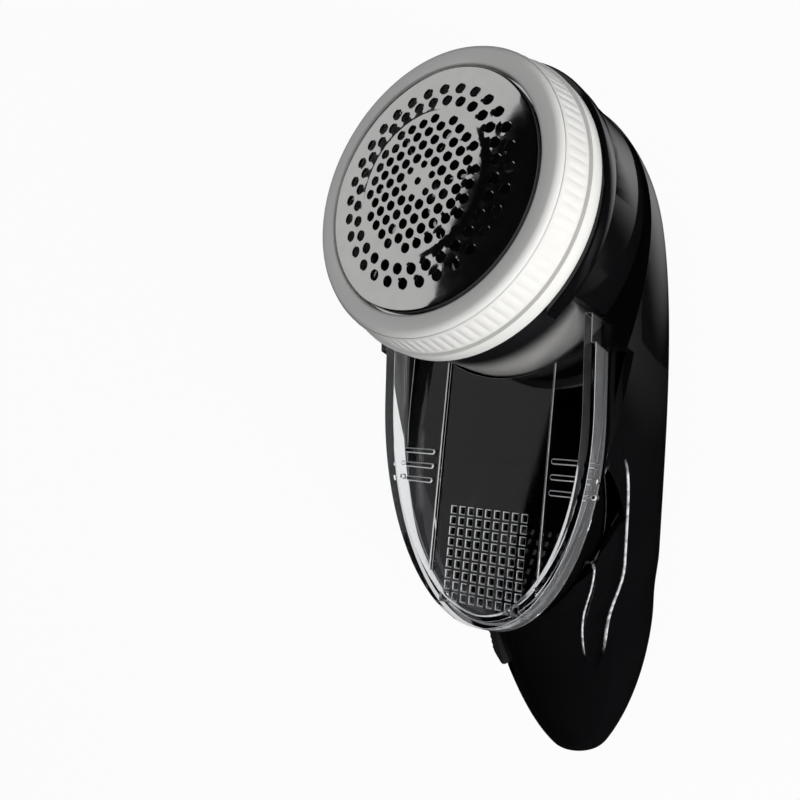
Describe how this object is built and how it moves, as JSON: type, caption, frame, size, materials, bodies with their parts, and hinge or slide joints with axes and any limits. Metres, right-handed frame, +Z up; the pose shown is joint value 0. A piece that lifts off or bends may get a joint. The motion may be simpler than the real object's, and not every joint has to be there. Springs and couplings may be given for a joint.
{
  "type": "fabric shaver",
  "caption": "Rechargeable fabric shaver: a black teardrop body, a round perforated steel head with a white lock ring, and a clear lint bin that slides out below it.",
  "frame": {"origin": "middle of the flat on the back of the rear housing that the shaver lies on", "axes": "+Z up, out of the back flat towards the head; +Y along the handle towards the head end; +X to the right, seen from the front with the head at the top"},
  "size_m": [0.084, 0.1992, 0.0838],
  "materials": {
    "gloss_black": "polished",
    "satin_black": "satin",
    "white_plastic": "satin",
    "polished_steel": "polished",
    "cream_plastic": "moulded",
    "blade_steel": "ground",
    "seal_felt": "matt",
    "copper_winding": "wound",
    "ferrite": "matt",
    "plated_steel": "zinc plated",
    "bronze": "sintered",
    "screw_steel": "zinc plated",
    "clear_plastic": "clear, polished",
    "board_green": "solder mask",
    "chip_black": "moulded",
    "cell_wrap": "shrink sleeve",
    "lead_red": "insulated",
    "lead_black": "insulated"
  },
  "bodies": {
    "housing": {"rear_housing": "gloss_black", "front_housing": "gloss_black", "head_collar": "satin_black", "head_base": "white_plastic", "lint_chute": "white_plastic", "foil": "polished_steel", "shaft_seal": "seal_felt", "motor_magnets": "ferrite", "motor_can": "plated_steel", "motor_end_cap": "cream_plastic", "motor_bushes": "bronze", "motor_plate": "plated_steel", "motor_screws": "screw_steel", "plate_screws": "screw_steel", "switch_body": "plated_steel", "circuit_board": "board_green", "board_parts": "chip_black", "board_screws": "screw_steel", "battery_cell": "cell_wrap", "battery_tabs": "plated_steel", "charge_jack": "chip_black", "jack_pin": "plated_steel", "housing_screws": "screw_steel", "motor_leads": "lead_red", "battery_leads": "lead_black", "jack_leads": "lead_red"},
    "cutter": {"cutter_carrier": "chip_black", "cutter_blades": "blade_steel", "drive_shaft": "blade_steel", "motor_rotor": "copper_winding"},
    "ring": {"lock_ring": "white_plastic"},
    "switch": {"switch_knob": "satin_black"},
    "bin": {"lint_bin": "clear_plastic"}
  },
  "joints": [
    {"name": "ring_turn", "type": "hinge", "parent": "housing", "child": "ring", "pos_m": [0, 0.07043, 0.07429], "axis": [0, 0.3778, 0.9259], "range_deg": [0, 30]},
    {"name": "cutter_spin", "type": "hinge", "parent": "housing", "child": "cutter", "pos_m": [0, 0.06287, 0.05578], "axis": [0, 0.3778, 0.9259], "continuous": true},
    {"name": "switch_slide", "type": "slide", "parent": "housing", "child": "switch", "axis": [0.1058, -0.9576, -0.2679], "range_m": [0, 0.005]},
    {"name": "bin_slide", "type": "slide", "parent": "housing", "child": "bin", "axis": [0, -0.8643, 0.503], "range_m": [0, 0.08]}
  ]
}
